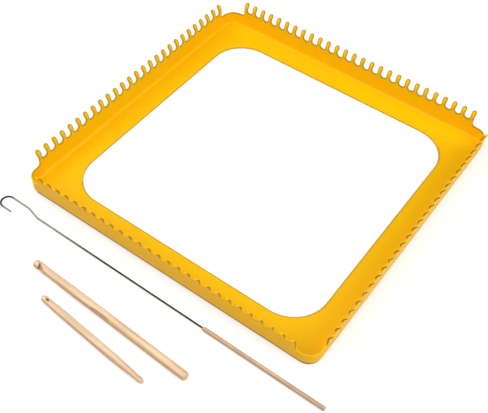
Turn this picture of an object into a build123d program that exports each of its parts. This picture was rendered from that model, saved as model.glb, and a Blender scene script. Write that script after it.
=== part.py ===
from build123d import *
import os
from math import asin, cos, degrees, radians, sin, tan

os.makedirs("parts", exist_ok=True)

# All lengths are in millimetres and all angles in degrees.
# The origin is the centre of the square loom at the level of the table, with +Z up.
# The three loose tools lie on the table in front of the loom, on its -Y side.

# Pegs along each wall
peg_pitch = 9.2
pegs_per_side = 27
peg_neck_width = 3.5
peg_head_width = 4.25
peg_height = 26.9
peg_lean = 36.0
peg_bend_radius = 9.5

# Sheet, flange, walls and window of the loom
sheet = 1.2
end_margin = 16.35
flange_width = 22.1
window_corner_radius = 30.5
corner_radius = 11.5
base_bend_radius = 2.5
wall_draft = 1.0
slot_floor_height = 17.9
peg_root_rise = 1.4
corner_rim_height = 12.6
rim_fillet = 3.2

# Weaving hook, a bent wire in a thin wooden handle
wire_diameter = 1.3
hook_bend_radius = 5.5
hook_free_leg = 9.3
hook_upper_leg = 17.9
crank_offset = 3.1
crank_run = 12.4
crank_radius = 10.0
hook_shaft_length = 164.9
handle_diameter = 3.15
handle_length = 103.6
handle_bore_depth = 20.0
handle_mouth_chamfer = 0.6
handle_end_chamfer = 0.3
handle_mouth_x = 56.35
hook_gap = 19.4
hook_heading = -0.27

# Crochet hook, turned from one wooden dowel
crochet_length = 150.6
crochet_radius = 3.3
crochet_head_radius = 3.15
crochet_neck_radius = 2.95
crochet_neck_start = 9.0
crochet_neck_end = 16.0
crochet_swell_end = 36.0
crochet_butt_fillet = 2.4
crochet_tip_x = -78.3
crochet_gap = 51.0
crochet_heading = -2.48
tool_facing = 25.0
throat_back = 5.0
throat_mouth = 6.3
throat_ramp_end = 13.5
throat_floor = 0.3
thumb_flat_start = 60.4
thumb_flat_length = 20.0
thumb_flat_ramp = 4.0
thumb_flat_depth = 0.6

# Weaving needle, turned from one wooden dowel
needle_length = 103.9
needle_radius = 2.88
needle_nose_length = 3.2
needle_nose_radius = 2.5
needle_belly_start = 22.0
needle_belly_end = 72.0
needle_point_radius = 2.0
needle_point_length = 4.6
needle_end_x = -52.3
needle_gap = 69.55
needle_heading = -4.75
eye_length = 3.6
eye_width = 1.5
eye_place = 6.6

# Places worked out from the sizes above
cut_overrun = sheet
slot_radius = (peg_pitch - peg_neck_width) / 2
slots_per_side = pegs_per_side - 1
row_end = (peg_pitch * (pegs_per_side - 1) + peg_neck_width) / 2
outer_half = row_end + end_margin
foot_width = sheet / cos(radians(wall_draft))
window_half = outer_half - flange_width
peg_root_height = slot_floor_height + peg_root_rise
slot_centre_height = slot_floor_height + slot_radius
side_names = ("front", "right", "back", "left")


def side_plane(number):
    """Upright plane through the loom's centre that faces out through one of its four sides."""
    turn = radians(360 / len(side_names) * number)
    return Plane(origin=(0, 0, 0), x_dir=(cos(turn), sin(turn), 0), z_dir=(sin(turn), -cos(turn), 0))


def lying_plane(place, heading, rise):
    """Plane of a tool that lies on the table, with X along the tool and Y level across it."""
    turn = radians(heading)
    tilt = radians(rise)
    along = (cos(turn) * cos(tilt), sin(turn) * cos(tilt), sin(tilt))
    upward = (-cos(turn) * sin(tilt), -sin(turn) * sin(tilt), cos(tilt))
    return Plane(origin=place, x_dir=along, z_dir=upward)


# Space inside the walls, one sheet in from the outer faces and one sheet above the table
inner_half = outer_half - foot_width + sheet * tan(radians(wall_draft))
with BuildPart() as tray_space:
    with BuildSketch(Plane.XY.offset(sheet)):
        RectangleRounded(2 * inner_half, 2 * inner_half, corner_radius - sheet)
    extrude(amount=peg_root_height, taper=-wall_draft)
    fillet(tray_space.faces().sort_by(Axis.Z)[0].edges(), base_bend_radius)

# Pan of the loom: flange, base bend, drafted walls and low rounded corners
with BuildPart() as loom_pan:
    with BuildSketch():
        RectangleRounded(2 * outer_half, 2 * outer_half, corner_radius)
    extrude(amount=peg_root_height, taper=-wall_draft)
    fillet(loom_pan.faces().sort_by(Axis.Z)[0].edges(), base_bend_radius + sheet)
    add(tray_space.part, mode=Mode.SUBTRACT)
    with BuildSketch():
        RectangleRounded(2 * window_half, 2 * window_half, window_corner_radius)
    extrude(amount=sheet + cut_overrun, mode=Mode.SUBTRACT)
    wall_zone = outer_half - corner_radius
    for number in range(len(side_names)):
        with BuildSketch(side_plane(number).offset(wall_zone)) as wall_cut:
            with Locations((row_end, corner_rim_height)):
                Rectangle(
                    end_margin + peg_root_height,
                    peg_root_height,
                    align=(Align.MIN, Align.MIN),
                )
            fillet(wall_cut.vertices().sort_by_distance((row_end, corner_rim_height))[0], rim_fillet)
            mirror(about=Plane.YZ)
            with Locations((0, slot_centre_height)):
                with GridLocations(peg_pitch, 0, slots_per_side, 1):
                    Circle(slot_radius)
        extrude(amount=corner_radius + peg_root_height, mode=Mode.SUBTRACT)
loom_pan.part.label = "loom_pan"
export_step(loom_pan.part, "parts/loom_pan.step")

# Peg rows: the upper edge of each wall, blanked into round-headed pegs that curve outward
peg_foot = outer_half + peg_root_height * tan(radians(wall_draft))
bend_turn = peg_lean - wall_draft
head_half = peg_head_width / 2
flare_angle = degrees(asin((slot_radius - peg_root_rise) / slot_radius))
with BuildSketch() as peg_outline:
    with BuildLine():
        flare = CenterArc((peg_pitch / 2, slot_centre_height), slot_radius, 180, flare_angle)
        Line(flare @ 0, (head_half, peg_height - head_half))
        Line(flare @ 1, (0, peg_root_height))
        mirror(about=Plane.YZ)
        ThreePointArc(
            (head_half, peg_height - head_half),
            (0, peg_height),
            (-head_half, peg_height - head_half),
        )
    make_face()
for number, side_name in enumerate(side_names):
    face = side_plane(number)
    section_plane = Plane(origin=face.origin, x_dir=face.z_dir, z_dir=-face.x_dir)
    with BuildPart() as peg_row:
        with BuildSketch(section_plane):
            with BuildLine(Plane.XY):
                start = Vector(peg_foot, peg_root_height)
                rise = Vector(sin(radians(wall_draft)), cos(radians(wall_draft)))
                outer_bend = JernArc(start, rise, peg_bend_radius - sheet / 2, -bend_turn)
                outer_tip = Line(
                    outer_bend @ 1,
                    outer_bend @ 1 + (outer_bend % 1) * peg_height,
                )
                inner_start = start - Vector(foot_width, 0)
                inner_bend = JernArc(inner_start, rise, peg_bend_radius + sheet / 2, -bend_turn)
                inner_tip = Line(
                    inner_bend @ 1,
                    inner_bend @ 1 + (inner_bend % 1) * peg_height,
                )
                Line(start, inner_start)
                Line(outer_tip @ 1, inner_tip @ 1)
            make_face()
        extrude(amount=outer_half, both=True)
        with BuildSketch(face.offset(wall_zone)):
            with GridLocations(peg_pitch, 0, pegs_per_side, 1):
                add(peg_outline.sketch)
            flank_height = slot_centre_height - peg_root_height
            flank_places = ((row_end, peg_root_height), (-row_end - peg_neck_width, peg_root_height))
            with Locations(*flank_places):
                Rectangle(peg_neck_width, flank_height, align=(Align.MIN, Align.MIN), mode=Mode.SUBTRACT)
        extrude(amount=peg_height, mode=Mode.INTERSECT)
    node_name = "peg_row_" + side_name
    peg_row.part.label = node_name
    export_step(peg_row.part, "parts/" + node_name + ".step")

# Handle of the weaving hook: a thin dowel with a blind bore in its chamfered mouth
wire_radius = wire_diameter / 2
handle_radius = handle_diameter / 2
wire_reach = hook_shaft_length + crank_run + hook_upper_leg + hook_bend_radius
handle_rise = degrees(asin((handle_radius - wire_radius) / wire_reach))
hook_y = -(outer_half + hook_gap)
hook_plane = lying_plane((handle_mouth_x, hook_y, handle_radius), hook_heading, handle_rise)
handle_plane = Plane(origin=hook_plane.origin, x_dir=hook_plane.y_dir, z_dir=hook_plane.x_dir)
with BuildPart() as hook_handle:
    with BuildSketch(handle_plane):
        Circle(handle_radius)
    extrude(amount=handle_length)
    chamfer(hook_handle.faces().sort_by(Axis.X)[0].edges(), handle_mouth_chamfer)
    chamfer(hook_handle.faces().sort_by(Axis.X)[-1].edges(), handle_end_chamfer)
    with BuildSketch(handle_plane):
        Circle(wire_radius)
    extrude(amount=handle_bore_depth, mode=Mode.SUBTRACT)
hook_handle.part.label = "hook_handle"
export_step(hook_handle.part, "parts/hook_handle.step")

# Wire of the weaving hook: free leg, round bend, upper leg, crank and straight shaft
crank_near = -hook_shaft_length
crank_far = crank_near - crank_run
bend_start = crank_far - hook_upper_leg
with BuildPart() as hook_wire:
    with BuildLine(hook_plane) as wire_path:
        low_leg = crank_offset - 2 * hook_bend_radius
        Line((bend_start + hook_free_leg, low_leg), (bend_start, low_leg))
        CenterArc((bend_start, crank_offset - hook_bend_radius), hook_bend_radius, 270, -180)
        FilletPolyline(
            (bend_start, crank_offset),
            (crank_far, crank_offset),
            (crank_near, 0),
            (handle_bore_depth, 0),
            radius=crank_radius,
        )
    with BuildSketch(Plane(origin=wire_path.line @ 0, z_dir=wire_path.line % 0)):
        Circle(wire_radius)
    sweep()
hook_wire.part.label = "hook_wire"
export_step(hook_wire.part, "parts/hook_wire.step")

# Crochet hook: round head, slimmer neck, straight shaft and rounded butt
crochet_y = -(outer_half + crochet_gap)
crochet_plane = lying_plane((crochet_tip_x, crochet_y, crochet_radius), crochet_heading, 0)
facing = radians(tool_facing)
facing_dir = crochet_plane.z_dir * sin(facing) - crochet_plane.y_dir * cos(facing)
cut_plane = Plane(
    origin=crochet_plane.origin,
    x_dir=crochet_plane.x_dir,
    z_dir=crochet_plane.x_dir.cross(facing_dir),
)
with BuildPart() as crochet_hook:
    with BuildSketch(crochet_plane):
        with BuildLine():
            nose = RadiusArc((0, 0), (crochet_head_radius, crochet_head_radius), crochet_head_radius)
            head = Line(nose @ 1, (crochet_neck_start, crochet_head_radius))
            neck = Spline(
                head @ 1,
                (crochet_neck_end, crochet_neck_radius),
                (crochet_swell_end, crochet_radius),
                tangents=((1, 0), (1, 0)),
            )
            shaft = Line(neck @ 1, (crochet_length, crochet_radius))
            Polyline(shaft @ 1, (crochet_length, 0), (0, 0))
        make_face()
    revolve(axis=Axis(crochet_plane.origin, crochet_plane.x_dir))
    butt = crochet_hook.faces().sort_by(Axis(crochet_plane.origin, crochet_plane.x_dir))[-1]
    fillet(butt.edges(), crochet_butt_fillet)
    over = 2 * crochet_radius
    with BuildSketch(cut_plane):
        with BuildLine():
            Polyline(
                (throat_mouth, over),
                (throat_mouth, crochet_head_radius),
                (throat_back, throat_floor),
                (throat_mouth, throat_floor),
                (throat_ramp_end, crochet_radius),
                (throat_ramp_end, over),
                close=True,
            )
        make_face()
    extrude(amount=over, both=True, mode=Mode.SUBTRACT)
    flat_end = thumb_flat_start + thumb_flat_length
    flat_floor = crochet_radius - thumb_flat_depth
    with BuildSketch(cut_plane):
        with BuildLine():
            Polyline(
                (thumb_flat_start, crochet_radius),
                (thumb_flat_start + thumb_flat_ramp, flat_floor),
                (flat_end - thumb_flat_ramp, flat_floor),
                (flat_end, crochet_radius),
                close=True,
            )
        make_face()
    extrude(amount=over, both=True, mode=Mode.SUBTRACT)
crochet_hook.part.label = "crochet_hook"
export_step(crochet_hook.part, "parts/crochet_hook.step")

# Weaving needle: blunt eye end, straight belly and a long taper to a rounded point
needle_y = -(outer_half + needle_gap)
needle_plane = lying_plane((needle_end_x, needle_y, needle_radius), needle_heading, 0)
point_start = needle_length - needle_point_length
with BuildPart() as weaving_needle:
    with BuildSketch(needle_plane):
        with BuildLine():
            nose = Spline((0, 0), (needle_nose_length, needle_nose_radius), tangents=((0, 1), (1, 0)))
            swell = Spline(nose @ 1, (needle_belly_start, needle_radius), tangents=((1, 0), (1, 0)))
            belly = Line(swell @ 1, (needle_belly_end, needle_radius))
            taper = Spline(belly @ 1, (point_start, needle_point_radius), tangents=((1, 0), (1, 0)))
            point = Spline(taper @ 1, (needle_length, 0), tangents=((1, 0), (0, -1)))
            Line(point @ 1, (0, 0))
        make_face()
    revolve(axis=Axis(needle_plane.origin, needle_plane.x_dir))
    with BuildSketch(needle_plane):
        with Locations((eye_place, 0)):
            SlotOverall(eye_length, eye_width)
    extrude(amount=2 * needle_radius, both=True, mode=Mode.SUBTRACT)
weaving_needle.part.label = "weaving_needle"
export_step(weaving_needle.part, "parts/weaving_needle.step")
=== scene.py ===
import bmesh
import bpy
from math import asin, atan2, cos, pi, radians, sin, tan
from mathutils import Matrix, Vector
from mathutils.bvhtree import BVHTree


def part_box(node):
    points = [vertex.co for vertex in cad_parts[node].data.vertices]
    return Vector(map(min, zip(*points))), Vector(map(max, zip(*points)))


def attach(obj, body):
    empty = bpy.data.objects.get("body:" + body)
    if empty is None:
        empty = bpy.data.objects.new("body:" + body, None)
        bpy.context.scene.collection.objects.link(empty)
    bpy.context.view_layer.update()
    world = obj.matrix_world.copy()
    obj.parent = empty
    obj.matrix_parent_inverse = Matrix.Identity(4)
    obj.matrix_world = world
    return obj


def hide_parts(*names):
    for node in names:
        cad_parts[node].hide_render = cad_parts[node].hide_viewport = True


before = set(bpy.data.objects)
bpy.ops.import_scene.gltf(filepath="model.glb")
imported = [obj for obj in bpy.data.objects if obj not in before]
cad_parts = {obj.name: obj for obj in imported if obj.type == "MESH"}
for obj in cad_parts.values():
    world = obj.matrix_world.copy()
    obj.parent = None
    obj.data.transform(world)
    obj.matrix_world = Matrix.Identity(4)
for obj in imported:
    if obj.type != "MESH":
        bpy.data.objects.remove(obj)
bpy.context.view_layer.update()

# The camera of the photograph: it looks down on the loom over its front right corner. Its place
# and its lens are fitted to the corners, the walls and the pegs of the loom.
camera_place = Vector((0.24785, -0.39817, 0.51221))
camera_azimuth = radians(33.803)
camera_elevation = radians(50.503)
camera_roll = radians(2.901)
camera_sensor = 36.0
camera_lens = 60.98

bpy.ops.object.camera_add()
camera = bpy.context.object
camera.data.sensor_width = camera_sensor
camera.data.lens = camera_lens
camera.matrix_world = (
    Matrix.Translation(camera_place)
    @ Matrix.Rotation(camera_azimuth, 4, "Z")
    @ Matrix.Rotation(pi / 2 - camera_elevation, 4, "X")
    @ Matrix.Rotation(camera_roll, 4, "Z")
)
bpy.context.scene.camera = camera
bpy.context.scene.view_settings.view_transform = "Standard"

# Loom frame: one sheet of steel, blanked with its pegs, drawn into a square tray with a low
# rounded corner at each end of its walls, and bent over at its foot to a flange around a large
# window. The pegs curve outward. It is powder coated in yellow, thinner on the cut edges, and
# its colour holds painted shade along the cut edges and a painted shadow line under the front wall.
mm = 0.001
tiny = 0.01 * mm
quarter = pi / 2
sheet = 1.2 * mm
peg_pitch = 9.2 * mm
pegs_per_side = 27
peg_neck = 3.5 * mm
peg_head_radius = 2.125 * mm
slot_floor = 17.9 * mm
slot_points = 24
bend_start = 19.3 * mm
bend_radius = 9.5 * mm
bend_angle = radians(35)
wall_draft = radians(1)
end_margin = 16.35 * mm
corner_radius = 11.5 * mm
rim_height = 12.6 * mm
rim_fillet = 3.2 * mm
wall_row = 9.5 * mm
base_radius = 3.1 * mm
flange_ring = 4.5 * mm
window_ring = 2.5 * mm
flange_width = 22.1 * mm
window_corner = 30.5 * mm
edge_round = 0.32 * mm

slots_per_side = pegs_per_side - 1
slot_radius = (peg_pitch - peg_neck) / 2
slot_centre = slot_floor + slot_radius
last_peg = peg_pitch * slots_per_side / 2
row_end = last_peg + peg_neck / 2
outer_half = row_end + end_margin
corner_axis = outer_half - corner_radius
peg_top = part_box("peg_row_front")[1].z - sheet / 6
head_centre = peg_top - peg_head_radius


def start_clean():
    """Leaves nothing selected, so that an operator acts only on what is added next."""
    if bpy.context.object and bpy.context.object.mode == "EDIT":
        bpy.ops.object.mode_set(mode="OBJECT")
    bpy.ops.object.select_all(action="DESELECT")


def pick(test, kind="verts"):
    """In edit mode, selects the parts of the mesh whose middle passes a test."""
    mesh = bmesh.from_edit_mesh(bpy.context.object.data)
    parts = getattr(mesh, kind)
    chosen = []
    for part in parts:
        corners = [part] if kind == "verts" else part.verts
        middle = sum((corner.co for corner in corners), Vector()) / len(corners)
        if test(middle):
            chosen.append(part)
    bpy.ops.mesh.select_all(action="DESELECT")
    for part in chosen:
        part.select_set(True)
    mesh.select_flush_mode()
    bmesh.update_edit_mesh(bpy.context.object.data)


def pull(x=0, y=0, z=0, steps=1):
    """Extrudes what is selected by a distance, in equal steps."""
    step = Vector((x, y, z)) / steps
    for _ in range(steps):
        bpy.ops.mesh.extrude_region_move(TRANSFORM_OT_translate={"value": step})


def squeeze(x=1, y=1, z=1, about=(0, 0, 0)):
    """Scales what is selected along each axis about a point."""
    bpy.ops.transform.resize(value=(x, y, z), center_override=about)


def finish_mesh(name):
    """Ends edit mode and names the piece, with its place kept in its mesh."""
    bpy.ops.object.mode_set(mode="OBJECT")
    bpy.ops.object.transform_apply()
    piece = bpy.context.object
    piece.name = name
    piece.data.name = name
    return piece


def modify(piece, kind, **settings):
    """Adds a modifier to a piece and applies it."""
    modifier = piece.modifiers.new(kind, kind)
    for setting, value in settings.items():
        setattr(modifier, setting, value)
    bpy.context.view_layer.objects.active = piece
    bpy.ops.object.modifier_apply(modifier=modifier.name)


def join(pieces):
    """Joins pieces into the first one."""
    start_clean()
    for piece in pieces:
        piece.select_set(True)
    bpy.context.view_layer.objects.active = pieces[0]
    bpy.ops.object.join()
    return pieces[0]


def slot_cell():
    """The flat blank from the middle of one peg to the middle of the next, with the slot between."""
    start_clean()
    bpy.ops.mesh.primitive_circle_add(
        vertices=slot_points,
        radius=slot_radius,
        location=(0, 0, slot_centre),
        rotation=(quarter, 0, 0),
    )
    bpy.ops.object.transform_apply()
    bpy.ops.object.mode_set(mode="EDIT")
    pick(lambda place: place.z > slot_centre + tiny or place.x < -tiny)
    bpy.ops.mesh.delete(type="VERT")
    pick(lambda place: place.x > slot_radius - tiny)
    peg_middle = peg_pitch / 2
    pull(peg_middle - peg_head_radius - slot_radius, 0, head_centre - slot_centre, steps=4)
    bpy.ops.mesh.spin(
        steps=4, angle=-quarter, center=(peg_middle, 0, head_centre), axis=(0, 1, 0)
    )
    bpy.ops.mesh.select_all(action="SELECT")
    pull()
    corner_height = slot_centre - slot_radius * cos(pi / 4) + tiny
    mesh = bmesh.from_edit_mesh(bpy.context.object.data)
    copies = [vertex for vertex in mesh.verts if vertex.select]
    for vertex in copies:
        vertex.select_set(vertex.co.z < corner_height)
    mesh.select_flush_mode()
    squeeze(x=peg_middle / (slot_radius * sin(pi / 4)), z=0, about=(0, 0, wall_row))
    for vertex in copies:
        vertex.select_set(vertex.co.z > wall_row + tiny)
    mesh.select_flush_mode()
    squeeze(x=0, about=(peg_middle, 0, 0))
    bpy.ops.mesh.select_all(action="SELECT")
    bpy.ops.mesh.remove_doubles(threshold=tiny)
    cell = finish_mesh("slot_cell")
    modify(cell, "MIRROR", use_mirror_merge=True, merge_threshold=tiny)
    return cell


def wall_end():
    """The flat blank beyond the middle of the last peg: its outer flank and the low corner rim."""
    start_clean()
    bpy.ops.mesh.primitive_circle_add(
        vertices=16, radius=peg_head_radius, location=(last_peg, 0, head_centre), rotation=(quarter, 0, 0)
    )
    bpy.ops.object.transform_apply()
    bpy.ops.object.mode_set(mode="EDIT")
    pick(lambda place: place.z < head_centre - tiny or place.x < last_peg - tiny)
    bpy.ops.mesh.delete(type="VERT")
    pick(lambda place: place.x > last_peg + peg_head_radius - tiny)
    pull(row_end - last_peg - peg_head_radius, 0, slot_centre - head_centre, steps=4)
    levels = [slot_centre - slot_radius * sin(2 * pi * step / slot_points) for step in range(3)]
    levels.append(rim_height + rim_fillet)
    for upper, lower in zip(levels, levels[1:]):
        pull(z=lower - upper)
    bpy.ops.mesh.spin(
        steps=4,
        angle=quarter,
        center=(row_end + rim_fillet, 0, rim_height + rim_fillet),
        axis=(0, 1, 0),
    )
    pull(x=corner_axis - row_end - rim_fillet)
    bpy.ops.mesh.select_all(action="SELECT")
    pull()
    mesh = bmesh.from_edit_mesh(bpy.context.object.data)
    copies = [vertex for vertex in mesh.verts if vertex.select]
    for vertex in copies:
        vertex.select_set(vertex.co.z < bend_start - tiny)
    mesh.select_flush_mode()
    stretch = (corner_axis - last_peg) / (corner_axis - row_end)
    squeeze(x=stretch, z=0, about=(corner_axis, 0, wall_row))
    for vertex in copies:
        vertex.select_set(vertex.co.z > wall_row + tiny)
    mesh.select_flush_mode()
    squeeze(x=0, about=(last_peg, 0, 0))
    bpy.ops.mesh.select_all(action="SELECT")
    bpy.ops.mesh.remove_doubles(threshold=tiny)
    end = finish_mesh("wall_end")
    modify(end, "MIRROR", use_mirror_merge=False)
    return end


def wall_line(height):
    """How far the middle of the sheet stands out from the loom's centre at a height."""
    if height <= bend_start:
        return outer_half - sheet / 2 / cos(wall_draft) + height * tan(wall_draft)
    bend_centre = bend_start - bend_radius * sin(wall_draft)
    lean = wall_draft + bend_angle
    straight_start = bend_centre + bend_radius * sin(lean)
    rise = (min(height, straight_start) - bend_centre) / bend_radius
    bow = bend_radius * (cos(wall_draft) - (1 - rise * rise) ** 0.5)
    return wall_line(bend_start) + bow + max(height - straight_start, 0) * tan(lean)


def loom_side():
    """One wall with its pegs, its part of the flange and the corner at its right end."""
    cell = slot_cell()
    cell.location.x = -(slots_per_side - 1) / 2 * peg_pitch
    bpy.ops.object.transform_apply()
    modify(
        cell,
        "ARRAY",
        count=slots_per_side,
        use_relative_offset=False,
        use_constant_offset=True,
        constant_offset_displace=(peg_pitch, 0, 0),
        use_merge_vertices=True,
        merge_threshold=tiny,
    )
    side = join([cell, wall_end()])
    for vertex in side.data.vertices:
        vertex.co.y = -wall_line(vertex.co.z)
    bpy.ops.object.mode_set(mode="EDIT")
    bpy.ops.mesh.select_all(action="SELECT")
    bpy.ops.mesh.remove_doubles(threshold=tiny)
    base_centre = sheet / 2 + base_radius
    base_top = base_centre - base_radius * sin(wall_draft)
    pick(lambda place: place.z < wall_row + tiny)
    pull(y=wall_line(wall_row) - wall_line(base_top), z=base_top - wall_row)
    bpy.ops.mesh.spin(
        steps=6,
        angle=wall_draft - quarter,
        center=(0, base_radius * cos(wall_draft) - wall_line(base_top), base_centre),
        axis=(1, 0, 0),
    )
    pull(y=flange_ring)
    pick(lambda place: place.x > corner_axis - tiny)
    bpy.ops.mesh.spin(
        steps=10, angle=-quarter, center=(corner_axis, -corner_axis, 0), axis=(0, 0, 1)
    )
    bpy.ops.mesh.select_all(action="SELECT")
    bpy.ops.mesh.remove_doubles(threshold=tiny)
    return finish_mesh("loom_side")


def window_face():
    """A ring of flange round the window, and the window itself as a face to be taken out later."""
    start_clean()
    ring_half = outer_half - flange_width + window_ring
    bpy.ops.mesh.primitive_plane_add(size=2 * ring_half, location=(0, 0, sheet / 2))
    bpy.ops.object.transform_apply()
    bpy.ops.object.mode_set(mode="EDIT")
    bpy.ops.mesh.bevel(affect="VERTICES", offset=window_corner + window_ring, segments=16)
    bpy.ops.mesh.select_all(action="SELECT")
    bpy.ops.mesh.inset(thickness=window_ring)
    return finish_mesh("window_face")


def loom_frame():
    """The whole pressed frame, with the thickness of the sheet and rounded cut edges."""
    first = loom_side()
    sides = [first]
    for turn in range(1, 4):
        side = first.copy()
        side.data = first.data.copy()
        bpy.context.collection.objects.link(side)
        side.rotation_euler.z = turn * quarter
        sides.append(side)
    start_clean()
    for side in sides:
        side.select_set(True)
    bpy.ops.object.transform_apply()
    loom = join(sides + [window_face()])
    bpy.ops.object.mode_set(mode="EDIT")
    bpy.ops.mesh.select_all(action="SELECT")
    bpy.ops.mesh.remove_doubles(threshold=tiny)
    bpy.ops.mesh.select_all(action="DESELECT")
    mesh = bmesh.from_edit_mesh(loom.data)
    for edge in mesh.edges:
        flat = max(vertex.co.z for vertex in edge.verts) < sheet / 2 + tiny
        edge.select_set(flat and edge.is_boundary)
    bpy.ops.mesh.fill()
    pick(lambda place: place.xy.length < peg_pitch, kind="faces")
    bpy.ops.mesh.delete(type="FACE")
    bpy.ops.mesh.select_all(action="SELECT")
    bpy.ops.mesh.normals_make_consistent(inside=False)
    finish_mesh("loom_frame")
    loom.data.materials.append(None)
    loom.data.materials.append(None)
    modify(loom, "SOLIDIFY", thickness=sheet, offset=0, use_even_offset=True, material_offset_rim=1)
    modify(
        loom,
        "BEVEL",
        width=edge_round,
        segments=2,
        limit_method="ANGLE",
        angle_limit=radians(50),
    )
    return loom


def measure_edges(piece):
    """Records how far each point of the sheet is from its blanked edge, and leaves one material slot."""
    rim = [face.vertices[:] for face in piece.data.polygons if face.material_index == 1]
    blanked = BVHTree.FromPolygons([vertex.co for vertex in piece.data.vertices], rim)
    for face in piece.data.polygons:
        face.material_index = 0
    piece.data.materials.pop()
    record = piece.data.attributes.new("edge_distance", "FLOAT", "POINT")
    for vertex in piece.data.vertices:
        record.data[vertex.index].value = blanked.find_nearest(vertex.co)[3]


def shade(piece, angle):
    """Smooth shading, with the flat faces kept flat beside their rounded edges."""
    start_clean()
    piece.select_set(True)
    bpy.context.view_layer.objects.active = piece
    bpy.ops.object.shade_smooth_by_angle(angle=angle)
    modify(piece, "WEIGHTED_NORMAL", keep_sharp=True)


class Field:
    """A value that varies over a surface: one output of a node in a material."""

    def __init__(self, tree, socket=None):
        self.tree = tree
        self.socket = socket

    def node(self, kind, settings, inputs, output=0):
        """Adds a node. Its settings are set first, and then the values or links of its sockets."""
        made = self.tree.nodes.new(kind)
        for name, value in settings.items():
            setattr(made, name, value)
        for name, value in inputs.items():
            if isinstance(value, Field):
                self.tree.links.new(value.socket, made.inputs[name])
            else:
                made.inputs[name].default_value = value
        return Field(self.tree, made.outputs[output])

    def maths(self, operation, first, second):
        """Adds a Math node on two values."""
        return self.node("ShaderNodeMath", {"operation": operation}, {0: first, 1: second})

    def __add__(self, other):
        return self.maths("ADD", self, other)

    __radd__ = __add__

    def __sub__(self, other):
        return self.maths("SUBTRACT", self, other)

    def __rsub__(self, other):
        return self.maths("SUBTRACT", other, self)

    def __mul__(self, other):
        return self.maths("MULTIPLY", self, other)

    __rmul__ = __mul__

    def above(self, low, high):
        """0 below low, 1 above high, and smooth between them."""
        return self.node(
            "ShaderNodeMapRange",
            {"interpolation_type": "SMOOTHSTEP"},
            {"Value": self, "From Min": low, "From Max": high},
        )

    def blend(self, first, second):
        """Mixes two colours by this value."""
        return self.node(
            "ShaderNodeMix",
            {"data_type": "RGBA"},
            {"Factor": self, 6: first, 7: second},
            output=2,
        )

    def noise(self, place, scale, detail=2.0, roughness=0.5):
        """Noise over a place, with so many features to the metre."""
        return self.node(
            "ShaderNodeTexNoise",
            {},
            {"Vector": place, "Scale": scale, "Detail": detail, "Roughness": roughness},
        )


def surface(name, **constants):
    """A new material with its shader's constants set, and a field to start its nodes from."""
    material = bpy.data.materials.new(name)
    material.use_nodes = True
    shader = material.node_tree.nodes["Principled BSDF"]
    for socket, value in constants.items():
        shader.inputs[socket.replace("_", " ")].default_value = value
    return material, shader, Field(material.node_tree)


def connect(shader, **fields):
    """Links varying values to the shader's sockets."""
    for socket, field in fields.items():
        shader.id_data.links.new(field.socket, shader.inputs[socket.replace("_", " ")])


def colour(red, green, blue):
    """A colour from its 0 to 255 screen values."""
    parts = [part / 255 for part in (red, green, blue)]
    return [part / 12.92 if part < 0.04045 else ((part + 0.055) / 1.055) ** 2.4 for part in parts] + [1]


def yellow_coat():
    """Yellow powder coat: satin, with a faint orange peel, olive brown along the blanked edges,
    partly where the coat runs thinner and partly as painted shade, and with a painted shadow line
    under the bend at the foot of the front wall."""
    material, shader, start = surface("yellow_powder_coat", Specular_IOR_Level=0.16)
    place = start.node("ShaderNodeTexCoord", {}, {}, output=3)
    cloud = start.noise(place, 45, detail=3)
    peel = start.noise(place, 900, detail=1)
    speck = start.noise(place, 2600, detail=1)
    coat = cloud.blend(colour(244, 189, 0), colour(248, 195, 0))
    coat = (speck.above(0.72, 0.8) * 0.35).blend(coat, colour(235, 166, 0))
    distance = start.node("ShaderNodeAttribute", {"attribute_name": "edge_distance"}, {}, output=2)
    normal = start.node("ShaderNodeTexCoord", {}, {}, output=1)
    facing_up = start.node("ShaderNodeSeparateXYZ", {}, {"Vector": normal}, output=2)
    height = start.node("ShaderNodeSeparateXYZ", {}, {"Vector": place}, output=2)
    across = start.node(
        "ShaderNodeVectorMath",
        {"operation": "DOT_PRODUCT"},
        {0: place, 1: (-1, 1, 0)},
        output=1,
    )
    # The olive brown band along the blanked edges is partly a thinner coat and partly painted shade: it
    # is wider on the far walls, and on the near walls it is left off the up-facing cut faces, which stay
    # lit.
    wall = height.above(sheet, 3 * sheet)
    lit_tops = facing_up.above(0.3, 0.7) * wall
    far = across.above(-sheet, sheet)
    near = 1 - far
    wide = wall * far + (1 - wall) * near
    band = 1 - distance.above(0.25 * sheet * wide, 0.3 * sheet + sheet * wide)
    thin_and_shaded = band * (1 - lit_tops * near) * (1 - 0.6 * (1 - wall) * far)
    thin_and_shaded_colour = wide.blend(colour(172, 118, 4), colour(178, 146, 8))
    coat = (thin_and_shaded * (0.75 + 0.25 * cloud)).blend(coat, thin_and_shaded_colour)
    # A painted shadow line: dark brown on the underside of the bend at the foot of the front wall.
    shadow_line = 1 - height.above(base_radius - sheet / 2, base_radius + sheet)
    forward = start.node("ShaderNodeSeparateXYZ", {}, {"Vector": normal}, output=1)
    shadow_line = shadow_line * (1 - facing_up.above(-0.3, 0)) * (1 - forward.above(-0.7, -0.3))
    coat = shadow_line.blend(coat, colour(112, 68, 20))
    bump = start.node(
        "ShaderNodeBump",
        {},
        {"Strength": 0.25, "Distance": 0.03 * mm, "Height": peel},
    )
    connect(
        shader,
        Base_Color=coat,
        Roughness=0.38 + 0.1 * cloud + 0.2 * thin_and_shaded + 0.4 * shadow_line,
        Normal=bump,
    )
    return material


loom = loom_frame()
measure_edges(loom)
loom.data.materials[0] = yellow_coat()
shade(loom, radians(40))
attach(loom, "loom")
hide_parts("loom_pan", "peg_row_front", "peg_row_right", "peg_row_back", "peg_row_left")

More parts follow.
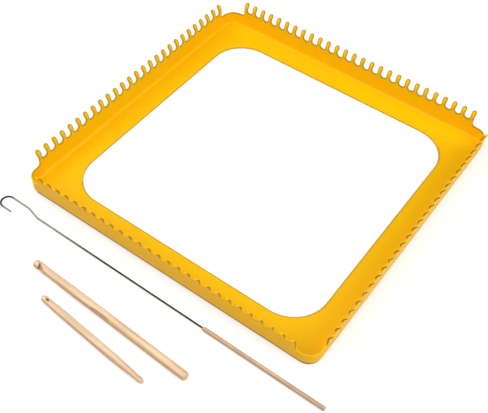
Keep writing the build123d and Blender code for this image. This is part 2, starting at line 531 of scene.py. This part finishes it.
# Wire of the weaving hook: one length of hard steel wire, bent round a pin to a U-shaped hook with
# a shallow double bend behind it, and pressed into the bore of its handle. The wire is dark from
# its oil bath, and bright along the hook, where the cotton loops rub it.
wire_radius = 0.65 * mm
wire_sides = 16
hook_bend = 5.5 * mm
hook_free_leg = 9.3 * mm
hook_upper_leg = 17.9 * mm
crank_offset = 3.1 * mm
crank_run = 12.4 * mm
crank_radius = 10 * mm
hook_shaft = 164.9 * mm
handle_radius = 1.575 * mm
handle_bore = 20 * mm
wire_end_gap = 0.2 * mm
wear_wander = 12 * mm
handle_mouth_x = 56.35 * mm
hook_gap = 19.4 * mm
hook_heading = radians(-0.27)

wire_reach = hook_shaft + crank_run + hook_upper_leg + hook_bend
hook_rise = asin((handle_radius - wire_radius) / wire_reach)


def tool_place(x, gap, rise, heading, tilt=0):
    """The place of a tool that lies on the table in front of the loom, with its own X along it."""
    return (
        Matrix.Translation((x, -outer_half - gap, rise))
        @ Matrix.Rotation(heading, 4, "Z")
        @ Matrix.Rotation(-tilt, 4, "Y")
    )


hook_place = tool_place(handle_mouth_x, hook_gap, handle_radius, hook_heading, hook_rise)


def lay(piece, place):
    """Lays a piece at its place, with the place kept in its mesh."""
    start_clean()
    piece.select_set(True)
    bpy.context.view_layer.objects.active = piece
    piece.matrix_world = place
    bpy.ops.object.transform_apply()


def hook_wire():
    """A round wire drawn along its path, from the end of the hook's free leg to inside the handle."""
    start_clean()
    crank_near = -hook_shaft
    crank_far = crank_near - crank_run
    bend_x = crank_far - hook_upper_leg
    low_leg = crank_offset - 2 * hook_bend
    bpy.ops.mesh.primitive_circle_add(
        vertices=wire_sides,
        radius=wire_radius,
        location=(bend_x + hook_free_leg, low_leg, 0),
        rotation=(0, quarter, 0),
    )
    bpy.ops.object.transform_apply()
    bpy.ops.object.mode_set(mode="EDIT")
    pull(x=-hook_free_leg)
    bpy.ops.mesh.spin(
        steps=24, angle=pi, center=(bend_x, crank_offset - hook_bend, 0), axis=(0, 0, 1)
    )
    turn = atan2(crank_offset, crank_run)
    tangent = crank_radius * tan(turn / 2)
    slope = crank_offset / sin(turn) - 2 * tangent
    pull(x=hook_upper_leg - tangent)
    bpy.ops.mesh.spin(
        steps=4, angle=turn, center=(crank_far - tangent, crank_offset - crank_radius, 0), axis=(0, 0, 1)
    )
    pull(x=slope * cos(turn), y=-slope * sin(turn))
    bpy.ops.mesh.spin(
        steps=4, angle=-turn, center=(crank_near + tangent, crank_radius, 0), axis=(0, 0, 1)
    )
    pull(x=hook_shaft - tangent + handle_bore - wire_end_gap)
    bpy.ops.mesh.select_all(action="SELECT")
    bpy.ops.mesh.fill_holes(sides=wire_sides)
    bpy.ops.mesh.select_all(action="SELECT")
    bpy.ops.mesh.normals_make_consistent(inside=False)
    wire = finish_mesh("weaving_hook_wire")
    modify(
        wire, "BEVEL", width=wire_radius / 3, segments=3, limit_method="ANGLE", angle_limit=radians(60)
    )
    return wire


def blackened_steel():
    """Dark drawn steel with fine draw lines, rubbed bright on both legs of the hook and along
    the crank, and still dark round the U."""
    material, shader, start = surface("blackened_steel_wire", Metallic=1.0)
    place = start.node("ShaderNodeTexCoord", {}, {}, output=3)
    along = start.node(
        "ShaderNodeMapping",
        {},
        {"Vector": place, "Rotation": (0, 0, -hook_heading), "Scale": (0.04, 1, 1)},
    )
    lines = start.noise(along, 5200, detail=2)
    cloud = start.noise(place, 60, detail=3)
    place_x = start.node("ShaderNodeSeparateXYZ", {}, {"Vector": place})
    rubbed_to = handle_mouth_x - hook_shaft + 6 * crank_run
    rubbed = 1 - (place_x + wear_wander * cloud).above(rubbed_to - 5 * crank_run, rubbed_to)
    bend_x = handle_mouth_x - hook_shaft - crank_run - hook_upper_leg
    beyond_bend = place_x.above(bend_x - hook_bend / 2, bend_x + hook_bend)
    worn = rubbed * beyond_bend * (0.45 + 0.75 * cloud)
    steel = worn.blend(colour(28, 28, 29), colour(160, 159, 156))
    steel = (lines.above(0.35, 0.75) * 0.4).blend(steel, colour(70, 69, 68))
    bump = start.node("ShaderNodeBump", {}, {"Strength": 0.3, "Distance": 0.02 * mm, "Height": lines})
    connect(shader, Base_Color=steel, Roughness=0.42 - 0.14 * worn, Normal=bump)
    return material


wire = hook_wire()
lay(wire, hook_place)
wire.data.materials.append(blackened_steel())
shade(wire, radians(40))
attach(wire, "weaving_hook")
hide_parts("hook_wire")

# Handle of the weaving hook: a thin turned hardwood dowel, pinkish brown and oiled, with a
# chamfered mouth whose blind bore grips the wire, and a slightly eased far end.
handle_length = 103.6 * mm
mouth_chamfer = 0.6 * mm
end_chamfer = 0.3 * mm
bore_clearance = 0.04 * mm


def turned(name, profile, sides):
    """A piece turned about its own X axis, from the points of its profile: (place, radius)."""
    start_clean()
    first, rest = profile[0], profile[1:]
    bpy.ops.mesh.primitive_plane_add(size=tiny, location=(first[0], 0, first[1]))
    bpy.ops.object.transform_apply()
    bpy.ops.object.mode_set(mode="EDIT")
    bpy.ops.mesh.merge(type="CENTER")
    for before, after in zip(profile, rest):
        pull(x=after[0] - before[0], z=after[1] - before[1])
    bpy.ops.mesh.select_all(action="SELECT")
    bpy.ops.mesh.spin(steps=sides, angle=2 * pi, center=(0, 0, 0), axis=(1, 0, 0))
    bpy.ops.mesh.select_all(action="SELECT")
    bpy.ops.mesh.remove_doubles(threshold=tiny)
    bpy.ops.mesh.select_all(action="SELECT")
    bpy.ops.mesh.normals_make_consistent(inside=False)
    return finish_mesh(name)


def wood(name, heading, middle, pale, dark, pore_and_shade, grain=1.0):
    """Turned wood: soft bands and fine fibres along the piece, with short dark pores, and painted
    shade along the front of the piece, in the colour of the pores."""
    material, shader, start = surface(name, Specular_IOR_Level=0.4)
    place = start.node("ShaderNodeTexCoord", {}, {}, output=3)
    level = start.node(
        "ShaderNodeMapping",
        {"vector_type": "TEXTURE"},
        {"Vector": place, "Location": middle, "Rotation": (0, 0, heading)},
    )
    bands_place = start.node("ShaderNodeMapping", {}, {"Vector": level, "Scale": (0.05, 1, 1)})
    fibre_place = start.node("ShaderNodeMapping", {}, {"Vector": level, "Scale": (0.03, 1, 1)})
    pore_place = start.node("ShaderNodeMapping", {}, {"Vector": level, "Scale": (0.12, 1, 1)})
    bands = start.noise(bands_place, 420 * grain, detail=3)
    fibres = start.noise(fibre_place, 2400 * grain, detail=3, roughness=0.6)
    pores = start.noise(pore_place, 3600 * grain, detail=1)
    cloud = start.noise(level, 70, detail=2)
    timber = bands.above(0.3, 0.7).blend(pale, dark)
    timber = (fibres.above(0.35, 0.75) * 0.45).blend(timber, dark)
    timber = (cloud.above(0.3, 0.8) * 0.35).blend(timber, pale)
    timber = (pores.above(0.66, 0.74) * 0.5).blend(timber, pore_and_shade)
    normal = start.node("ShaderNodeTexCoord", {}, {}, output=1)
    side = start.node("ShaderNodeSeparateXYZ", {}, {"Vector": normal}, output=1)
    # Painted shade: the faces turned to the front are blended towards the pore colour.
    timber = ((1 - side.above(-1, -0.5)) * 0.45).blend(timber, pore_and_shade)
    height = fibres - 0.6 * pores.above(0.62, 0.74)
    bump = start.node("ShaderNodeBump", {}, {"Strength": 0.35, "Distance": 0.05 * mm, "Height": height})
    connect(shader, Base_Color=timber, Roughness=0.46 + 0.16 * fibres, Normal=bump)
    return material


handle = turned(
    "weaving_hook_handle",
    [
        (handle_bore, 0),
        (handle_bore, wire_radius + bore_clearance),
        (0, wire_radius + bore_clearance),
        (0, handle_radius - mouth_chamfer),
        (mouth_chamfer, handle_radius),
        (handle_length / 2, handle_radius),
        (handle_length - end_chamfer, handle_radius),
        (handle_length, handle_radius - end_chamfer),
        (handle_length, 0),
    ],
    sides=28,
)
modify(
    handle, "BEVEL", width=0.15 * mm, segments=2, limit_method="ANGLE", angle_limit=radians(25)
)
lay(handle, hook_place)
handle.data.materials.append(
    wood(
        "oiled_hardwood",
        hook_heading,
        hook_place.translation,
        pale=colour(214, 185, 153),
        dark=colour(176, 144, 110),
        # The pore colour is also the colour of the painted shade along the front of the handle.
        pore_and_shade=colour(162, 130, 102),
    )
)
shade(handle, radians(35))
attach(handle, "weaving_hook")
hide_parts("hook_handle")

# Crochet hook: turned from one birch dowel, with a round head on a slightly slimmer neck, a
# throat cut under the head, a sanded thumb flat and a rounded butt.
crochet_length = 150.6 * mm
crochet_radius = 3.3 * mm
head_radius = 3.15 * mm
neck_radius = 2.95 * mm
neck_start = 9 * mm
neck_end = 16 * mm
swell_end = 36 * mm
butt_fillet = 2.4 * mm
throat_back = 5 * mm
throat_mouth = 6.3 * mm
throat_ramp_end = 13.5 * mm
throat_floor = 0.3 * mm
flat_start = 60.4 * mm
flat_length = 20 * mm
flat_ramp = 4 * mm
flat_depth = 0.6 * mm
crochet_facing = radians(25)
crochet_tip_x = -78.3 * mm
crochet_gap = 51 * mm
crochet_heading = radians(-2.48)


def dome(place, radius, length, steps=8):
    """Profile points of a rounded nose that starts on the axis and ends level at a radius."""
    turns = [quarter * step / steps for step in range(steps + 1)]
    return [(place + length * (1 - cos(turn)), radius * sin(turn)) for turn in turns]


def swell(start, end, steps=8):
    """Profile points of an easy change of radius, level at both ends, without its first point."""
    points = []
    for step in range(1, steps + 1):
        share = step / steps
        rise = share * share * (3 - 2 * share)
        points.append((start[0] + (end[0] - start[0]) * share, start[1] + (end[1] - start[1]) * rise))
    return points


def cutter(outline, half_width, facing):
    """A cutting block with an outline in (place, height), turned about the piece to its facing."""
    start_clean()
    bpy.ops.mesh.primitive_plane_add(size=tiny, location=(outline[0][0], -half_width, outline[0][1]))
    bpy.ops.object.transform_apply()
    bpy.ops.object.mode_set(mode="EDIT")
    bpy.ops.mesh.merge(type="CENTER")
    for before, after in zip(outline, outline[1:]):
        pull(x=after[0] - before[0], z=after[1] - before[1])
    bpy.ops.mesh.select_all(action="SELECT")
    bpy.ops.mesh.edge_face_add()
    pull(y=2 * half_width)
    bpy.ops.mesh.select_all(action="SELECT")
    bpy.ops.mesh.normals_make_consistent(inside=False)
    block = finish_mesh("cutter")
    block.rotation_euler.x = facing
    bpy.ops.object.transform_apply()
    return block


def cut(piece, block):
    """Cuts a block out of a piece."""
    modify(piece, "BOOLEAN", operation="DIFFERENCE", solver="EXACT", object=block)
    bpy.data.objects.remove(block)


def crochet_hook():
    """The turned blank of the crochet hook, with its throat and thumb flat cut."""
    neck = [(neck_start, head_radius)]
    neck += swell(neck[-1], (neck_end, neck_radius), steps=4)
    neck += swell(neck[-1], (swell_end, crochet_radius))
    butt = dome(0, butt_fillet, butt_fillet, steps=6)
    butt = [
        (crochet_length - place, crochet_radius - butt_fillet + radius) for place, radius in butt
    ]
    piece = turned(
        "crochet_hook_body",
        dome(0, head_radius, head_radius) + neck + butt[::-1] + [(crochet_length, 0)],
        sides=48,
    )
    over = 2 * crochet_radius
    throat = [
        (throat_mouth, over),
        (throat_mouth, head_radius),
        (throat_back, throat_floor),
        (throat_mouth, throat_floor),
        (throat_ramp_end, crochet_radius),
        (throat_ramp_end, over),
    ]
    floor_height = crochet_radius - flat_depth
    flat_end = flat_start + flat_length
    thumb = [
        (flat_start, crochet_radius),
        (flat_start + flat_ramp, floor_height),
        (flat_end - flat_ramp, floor_height),
        (flat_end, crochet_radius),
        (flat_end, over),
        (flat_start, over),
    ]
    for outline in (throat, thumb):
        cut(piece, cutter(outline, over, quarter - crochet_facing))
    modify(
        piece, "BEVEL", width=0.3 * mm, segments=3, limit_method="ANGLE", angle_limit=radians(24)
    )
    return piece


crochet = crochet_hook()
crochet_place = tool_place(crochet_tip_x, crochet_gap, crochet_radius, crochet_heading)
lay(crochet, crochet_place)
birch_pale = colour(242, 215, 180)
birch_dark = colour(206, 170, 132)
# The pore colour is also the colour of the painted shade along the front of the birch pieces.
birch_pore_and_shade = colour(158, 120, 86)
crochet.data.materials.append(
    wood(
        "birch_crochet_hook",
        crochet_heading,
        crochet_place.translation,
        pale=birch_pale,
        dark=birch_dark,
        pore_and_shade=birch_pore_and_shade,
    )
)
shade(crochet, radians(30))
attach(crochet, "crochet_hook")
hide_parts("crochet_hook")

# Weaving needle: turned from a birch dowel, with a blunt eye end, a straight belly and a long
# taper to a rounded point. The eye is a short slot cut straight through.
needle_length = 103.9 * mm
needle_radius = 2.88 * mm
nose_length = 3.2 * mm
nose_radius = 2.5 * mm
belly_start = 22 * mm
belly_end = 72 * mm
point_radius = 2 * mm
point_length = 4.6 * mm
eye_length = 3.6 * mm
eye_width = 1.5 * mm
eye_place = 6.6 * mm
needle_end_x = -52.3 * mm
needle_gap = 69.55 * mm
needle_heading = radians(-4.75)


def weaving_needle():
    """The turned needle with its eye."""
    point_start = needle_length - point_length
    point = [
        (needle_length - place, radius) for place, radius in dome(0, point_radius, point_length)
    ]
    belly = [(belly_end, needle_radius)]
    piece = turned(
        "weaving_needle_body",
        dome(0, nose_radius, nose_length)
        + swell((nose_length, nose_radius), (belly_start, needle_radius), steps=4)
        + belly
        + swell(belly[0], (point_start, point_radius), steps=10)
        + point[-2::-1],
        sides=40,
    )
    start_clean()
    bpy.ops.mesh.primitive_plane_add(size=1)
    bpy.ops.object.mode_set(mode="EDIT")
    squeeze(x=eye_length, y=eye_width)
    bpy.ops.mesh.bevel(affect="VERTICES", offset=eye_width / 2 - tiny / 10, segments=6)
    bpy.ops.transform.translate(value=(eye_place, 0, -2 * needle_radius))
    bpy.ops.mesh.select_all(action="SELECT")
    pull(z=4 * needle_radius)
    bpy.ops.mesh.select_all(action="SELECT")
    bpy.ops.mesh.normals_make_consistent(inside=False)
    cut(piece, finish_mesh("eye_cutter"))
    modify(
        piece, "BEVEL", width=0.22 * mm, segments=3, limit_method="ANGLE", angle_limit=radians(40)
    )
    return piece


needle = weaving_needle()
needle_place = tool_place(needle_end_x, needle_gap, needle_radius, needle_heading)
lay(needle, needle_place)
needle.data.materials.append(
    wood(
        "birch_weaving_needle",
        needle_heading,
        needle_place.translation,
        pale=birch_pale,
        dark=birch_dark,
        pore_and_shade=birch_pore_and_shade,
    )
)
shade(needle, radians(30))
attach(needle, "weaving_needle")
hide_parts("weaving_needle")

# Floor and backdrop: a pale sweep that shows white to the camera and in reflections, and keeps a
# faint shadow of the object. It stands for the studio paper and isn't part of the object.
sweep_radius = 1.6
sweep_border = 0.2
sweep_bend = 0.5
sweep_height = 0.5
bend_steps = 8
contact_shade = 1.4 * mm


def studio_paper():
    """White paper: plain to the light, and lifted to white where it is looked at or reflected. Its
    contact shade is darker round the loom than under the light tools."""
    material = bpy.data.materials.new("studio_paper")
    material.use_nodes = True
    tree = material.node_tree
    tree.nodes.remove(tree.nodes["Principled BSDF"])
    start = Field(tree)
    paper = start.node("ShaderNodeBsdfDiffuse", {}, {"Color": (0.54, 0.54, 0.54, 1)})
    occlusion = start.node(
        "ShaderNodeAmbientOcclusion",
        {"samples": 16},
        {"Distance": contact_shade},
        output=1,
    )
    place = start.node("ShaderNodeTexCoord", {}, {}, output=3)
    place_y = start.node("ShaderNodeSeparateXYZ", {}, {"Vector": place}, output=1)
    by_loom = place_y.above(-outer_half - 0.8 * hook_gap, -outer_half - 0.5 * hook_gap)
    open_floor = 1 - (1 - occlusion.above(0.3, 0.85)) * (0.3 + 0.7 * by_loom)
    shaded = open_floor.blend((0.28, 0.12, 0.02, 1), (0.52, 0.52, 0.52, 1))
    dim = start.node("ShaderNodeBsdfDiffuse", {}, {"Color": shaded})
    reach = start.node("ShaderNodeVectorMath", {"operation": "LENGTH"}, {0: place}, output=1)
    lift = (0.54 + 0.46 * reach.above(0.4, 1.4)) * open_floor
    lit = open_floor.blend((1, 0.5, 0.1, 1), (1, 1, 1, 1))
    glow = start.node("ShaderNodeEmission", {}, {"Color": lit, "Strength": lift})
    lifted = start.node("ShaderNodeAddShader", {}, {0: dim, 1: glow})
    camera_ray = start.node("ShaderNodeLightPath", {}, {}, output="Is Camera Ray")
    glossy_ray = start.node("ShaderNodeLightPath", {}, {}, output="Is Glossy Ray")
    through_ray = start.node("ShaderNodeLightPath", {}, {}, output="Is Transmission Ray")
    seen = camera_ray + glossy_ray + through_ray
    result = start.node("ShaderNodeMixShader", {}, {0: seen, 1: paper, 2: lifted})
    tree.links.new(result.socket, tree.nodes["Material Output"].inputs["Surface"])
    return material


start_clean()
bpy.ops.mesh.primitive_circle_add(vertices=96, radius=sweep_radius, fill_type="NGON")
bpy.ops.object.mode_set(mode="EDIT")
bpy.ops.mesh.select_all(action="SELECT")
bpy.ops.mesh.edge_face_add()
bpy.ops.mesh.inset(thickness=sweep_border)
pick(lambda place: place.xy.length > sweep_radius - tiny)
reach = sweep_radius
run = sweep_bend * quarter / bend_steps
for step in range(bend_steps):
    turn = quarter * (step + 0.5) / bend_steps
    widening = 1 + run * cos(turn) / reach
    pull(z=run * sin(turn))
    squeeze(x=widening, y=widening)
    reach *= widening
pull(z=sweep_height)
floor = finish_mesh("studio_sweep")
bpy.ops.object.shade_smooth()
floor.data.materials.append(studio_paper())

# Lamps: four square soft boxes of the same size, at the left, the right, the front and the top.
# The front one is a little warm. A weak white world fills the shadows.
soft_box_size = 0.9
world_strength = 0.1


def soft_box(name, place, power, tint=(1, 1, 1)):
    """A square area lamp that faces the middle of the loom."""
    bpy.ops.object.light_add(type="AREA", location=place)
    lamp = bpy.context.object
    lamp.name = name
    lamp.data.size = soft_box_size
    lamp.data.energy = power
    lamp.data.color = tint
    lamp.rotation_euler = (-Vector(place)).to_track_quat("-Z", "Y").to_euler()


soft_box("left_box", (-0.85, -0.2, 0.9), 7.1)
soft_box("right_box", (1.0, 0.1, 0.7), 9.7)
soft_box("front_box", (0, -1.0, 0.9), 8.4, tint=(1, 0.91, 0.84))
soft_box("top_box", (0, 0.3, 1.4), 3.2)
world = bpy.data.worlds.new("studio")
bpy.context.scene.world = world
world.use_nodes = True
background = world.node_tree.nodes["Background"]
background.inputs["Color"].default_value = (1, 1, 1, 1)
background.inputs["Strength"].default_value = world_strength
